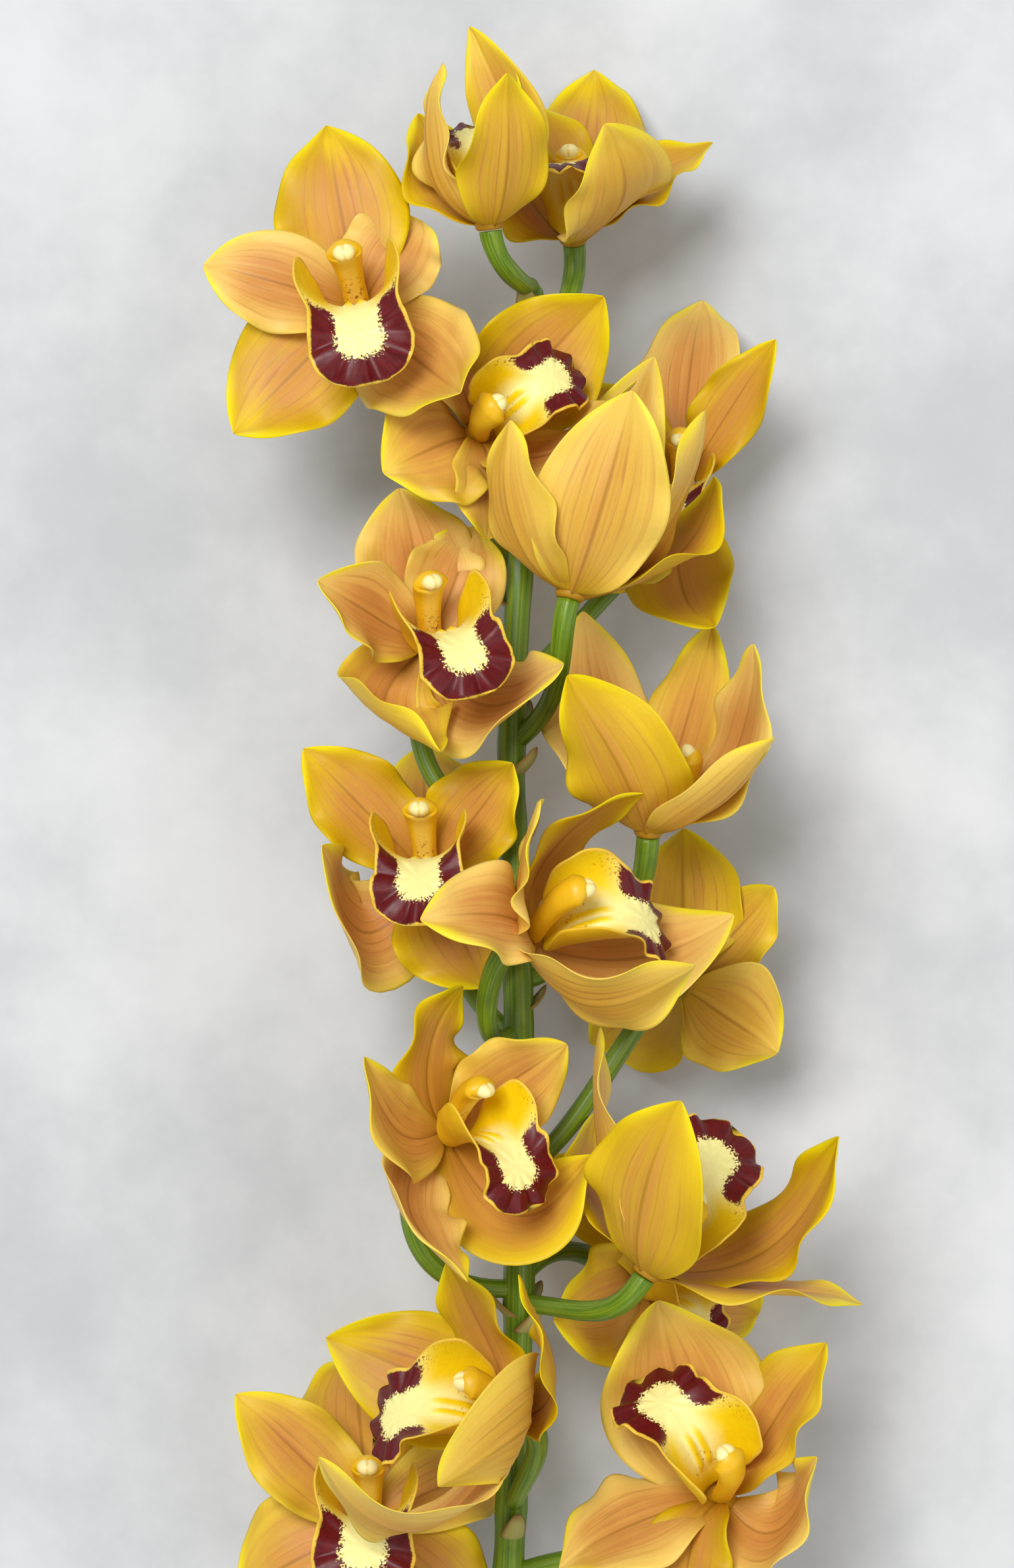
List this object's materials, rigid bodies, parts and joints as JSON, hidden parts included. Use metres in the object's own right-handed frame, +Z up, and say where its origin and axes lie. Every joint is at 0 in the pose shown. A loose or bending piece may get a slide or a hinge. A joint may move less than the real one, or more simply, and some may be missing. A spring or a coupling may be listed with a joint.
{
  "type": "cymbidium orchid stem",
  "caption": "Cut cymbidium orchid stem lying flat: a bare green scape crowded with golden-yellow blooms whose cream lips carry a maroon band.",
  "frame": {"origin": "middle of the stem's bounding box in X and Y, on the table it lies on", "axes": "+Z up off the table, +Y along the scape from the cut end to the youngest bloom, +X to the right as seen from above"},
  "size_m": [0.178, 0.579, 0.1277],
  "materials": {
    "tepal_yellow": "satin waxy petal, golden yellow with peach veins",
    "lip_maroon_cream": "satin petal, cream and yellow with a deep maroon band",
    "column_cream": "satin, yellow with a cream anther cap",
    "stem_green": "satin fresh green stem"
  },
  "bodies": {
    "root": {"scape": "stem_green", "bloom_01_tepals": "tepal_yellow", "bloom_01_lip": "lip_maroon_cream", "bloom_01_column": "column_cream", "bloom_02_tepals": "tepal_yellow", "bloom_02_lip": "lip_maroon_cream", "bloom_02_column": "column_cream", "bloom_03_tepals": "tepal_yellow", "bloom_03_lip": "lip_maroon_cream", "bloom_03_column": "column_cream", "bloom_04_tepals": "tepal_yellow", "bloom_04_lip": "lip_maroon_cream", "bloom_04_column": "column_cream", "bloom_05_tepals": "tepal_yellow", "bloom_05_lip": "lip_maroon_cream", "bloom_05_column": "column_cream", "bloom_06_tepals": "tepal_yellow", "bloom_06_lip": "lip_maroon_cream", "bloom_06_column": "column_cream", "bloom_07_tepals": "tepal_yellow", "bloom_07_lip": "lip_maroon_cream", "bloom_07_column": "column_cream", "bloom_08_tepals": "tepal_yellow", "bloom_08_lip": "lip_maroon_cream", "bloom_08_column": "column_cream", "bloom_09_tepals": "tepal_yellow", "bloom_09_lip": "lip_maroon_cream", "bloom_09_column": "column_cream", "bloom_10_tepals": "tepal_yellow", "bloom_10_lip": "lip_maroon_cream", "bloom_10_column": "column_cream", "bloom_11_tepals": "tepal_yellow", "bloom_11_lip": "lip_maroon_cream", "bloom_11_column": "column_cream", "bloom_12_tepals": "tepal_yellow", "bloom_12_lip": "lip_maroon_cream", "bloom_12_column": "column_cream", "bloom_13_tepals": "tepal_yellow", "bloom_13_lip": "lip_maroon_cream", "bloom_13_column": "column_cream", "bloom_14_tepals": "tepal_yellow", "bloom_14_lip": "lip_maroon_cream", "bloom_14_column": "column_cream", "bloom_15_tepals": "tepal_yellow", "bloom_15_lip": "lip_maroon_cream", "bloom_15_column": "column_cream", "bloom_16_tepals": "tepal_yellow", "bloom_16_lip": "lip_maroon_cream", "bloom_16_column": "column_cream", "bloom_17_tepals": "tepal_yellow", "bloom_17_lip": "lip_maroon_cream", "bloom_17_column": "column_cream"}
  },
  "joints": []
}
